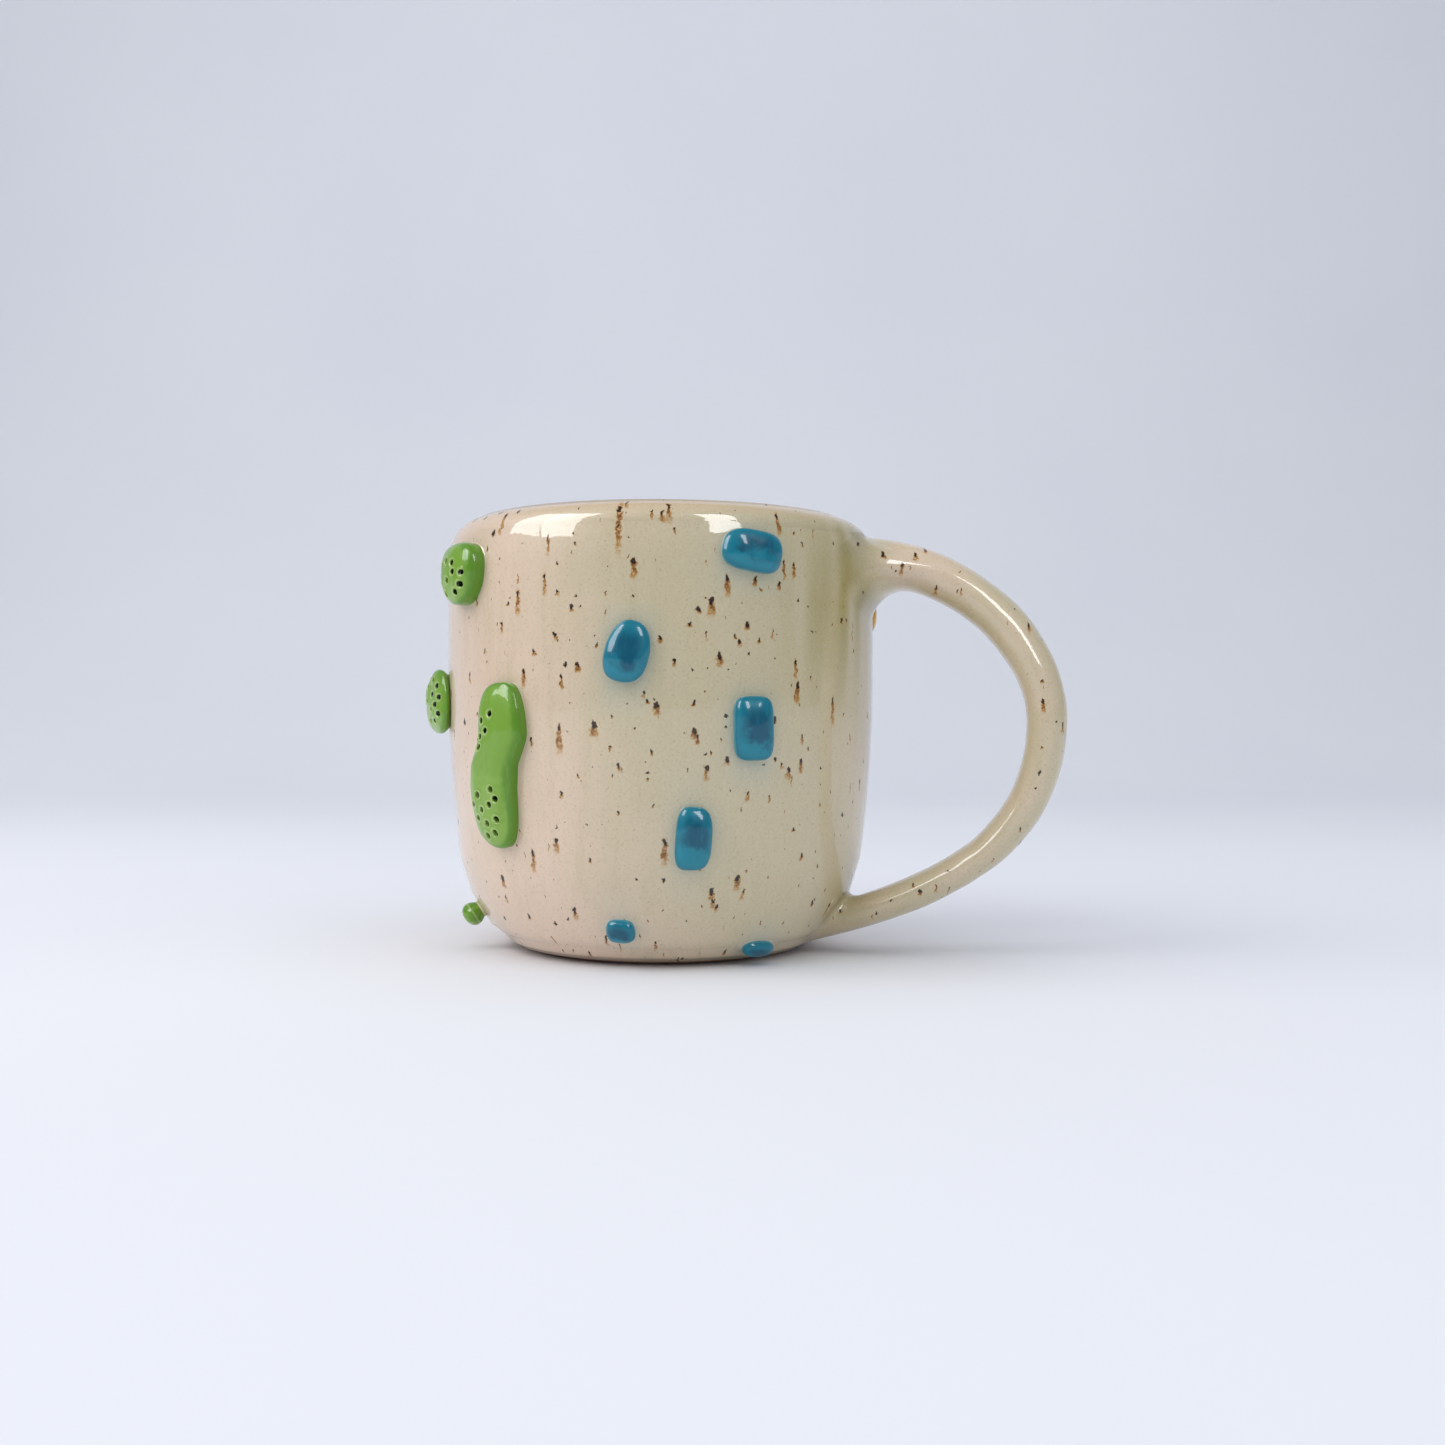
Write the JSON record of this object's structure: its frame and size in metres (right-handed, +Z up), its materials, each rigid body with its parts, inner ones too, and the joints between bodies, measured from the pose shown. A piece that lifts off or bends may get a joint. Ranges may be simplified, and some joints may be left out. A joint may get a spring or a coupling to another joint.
{
  "type": "stoneware mug",
  "caption": "Handmade glossy speckled stoneware mug with a round belly, a big loop handle and small raised green, teal and yellow clay pieces on its wall.",
  "frame": {"origin": "centre of the flat foot, on the plane the mug stands on", "axes": "+Z up along the cup's axis, +X towards the handle"},
  "size_m": [0.1228, 0.0886, 0.084],
  "materials": {
    "bare_clay": "matt, unglazed, fine grog",
    "cream_glaze": "high gloss cream with brown iron specks",
    "green_glaze": "high gloss",
    "teal_glaze": "high gloss",
    "yellow_glaze": "high gloss"
  },
  "bodies": {
    "root": {"mug_body": "bare_clay", "glaze_outside": "cream_glaze", "glaze_inside": "cream_glaze", "handle": "cream_glaze", "handle_upper_joint": "cream_glaze", "handle_lower_joint": "cream_glaze", "green_disc_upper": "green_glaze", "green_disc_side": "green_glaze", "green_long_piece": "green_glaze", "green_bud": "green_glaze", "green_disc_back": "green_glaze", "teal_pebble_top": "teal_glaze", "teal_pebble_centre": "teal_glaze", "teal_pebble_right": "teal_glaze", "teal_pebble_lower": "teal_glaze", "teal_pebble_small": "teal_glaze", "teal_pebble_foot": "teal_glaze", "yellow_pebble_handle": "yellow_glaze", "yellow_pebble_long": "yellow_glaze", "yellow_pebble_high": "yellow_glaze", "yellow_pebble_low": "yellow_glaze", "yellow_pebble_round": "yellow_glaze"}
  },
  "joints": []
}
